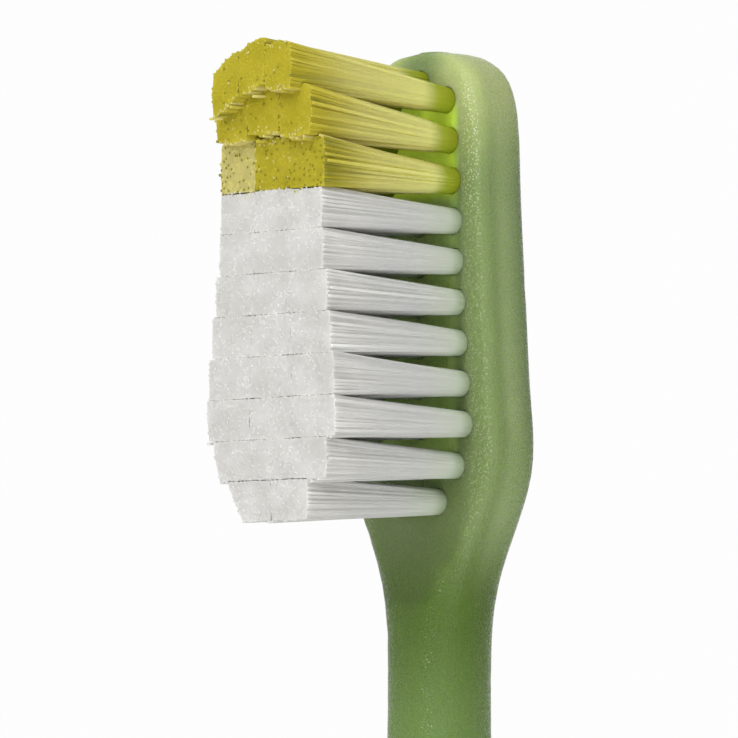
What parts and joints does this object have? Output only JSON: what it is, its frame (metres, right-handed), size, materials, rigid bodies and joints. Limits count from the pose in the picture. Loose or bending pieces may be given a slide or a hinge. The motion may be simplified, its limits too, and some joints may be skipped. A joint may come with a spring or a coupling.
{
  "type": "manual toothbrush",
  "caption": "Manual toothbrush with a tapered head, round neck and flat-backed handle, raised yellow bristle tufts at the toe and white ones behind, each folded round an anchor wire.",
  "frame": {"origin": "middle of the brush's bounding box, on the flat that the handle lies on", "axes": "+X along the brush to the toe of the head, +Z out of the bristle face, Y across"},
  "size_m": [0.18, 0.0118, 0.019],
  "materials": {
    "handle_plastic": "satin",
    "yellow_filament": "satin",
    "white_filament": "satin",
    "anchor_wire": "satin"
  },
  "bodies": {
    "root": {"anchors_row_01": "anchor_wire", "anchors_row_02": "anchor_wire", "anchors_row_03": "anchor_wire", "anchors_row_04": "anchor_wire", "anchors_row_05": "anchor_wire", "anchors_row_06": "anchor_wire", "anchors_row_07": "anchor_wire", "anchors_row_08": "anchor_wire", "anchors_row_09": "anchor_wire", "anchors_row_10": "anchor_wire", "anchors_row_11": "anchor_wire", "handle": "handle_plastic", "tuft_row_01_a": "yellow_filament", "tuft_row_01_b": "yellow_filament", "tuft_row_01_c": "yellow_filament", "tuft_row_02_a": "yellow_filament", "tuft_row_02_b": "yellow_filament", "tuft_row_02_c": "yellow_filament", "tuft_row_03_a": "yellow_filament", "tuft_row_03_b": "yellow_filament", "tuft_row_03_c": "yellow_filament", "tuft_row_04_a": "white_filament", "tuft_row_04_b": "white_filament", "tuft_row_04_c": "white_filament", "tuft_row_05_a": "white_filament", "tuft_row_05_b": "white_filament", "tuft_row_05_c": "white_filament", "tuft_row_06_a": "white_filament", "tuft_row_06_b": "white_filament", "tuft_row_06_c": "white_filament", "tuft_row_07_a": "white_filament", "tuft_row_07_b": "white_filament", "tuft_row_07_c": "white_filament", "tuft_row_08_a": "white_filament", "tuft_row_08_b": "white_filament", "tuft_row_08_c": "white_filament", "tuft_row_09_a": "white_filament", "tuft_row_09_b": "white_filament", "tuft_row_09_c": "white_filament", "tuft_row_10_a": "white_filament", "tuft_row_10_b": "white_filament", "tuft_row_10_c": "white_filament", "tuft_row_11_a": "white_filament", "tuft_row_11_b": "white_filament"}
  },
  "joints": []
}
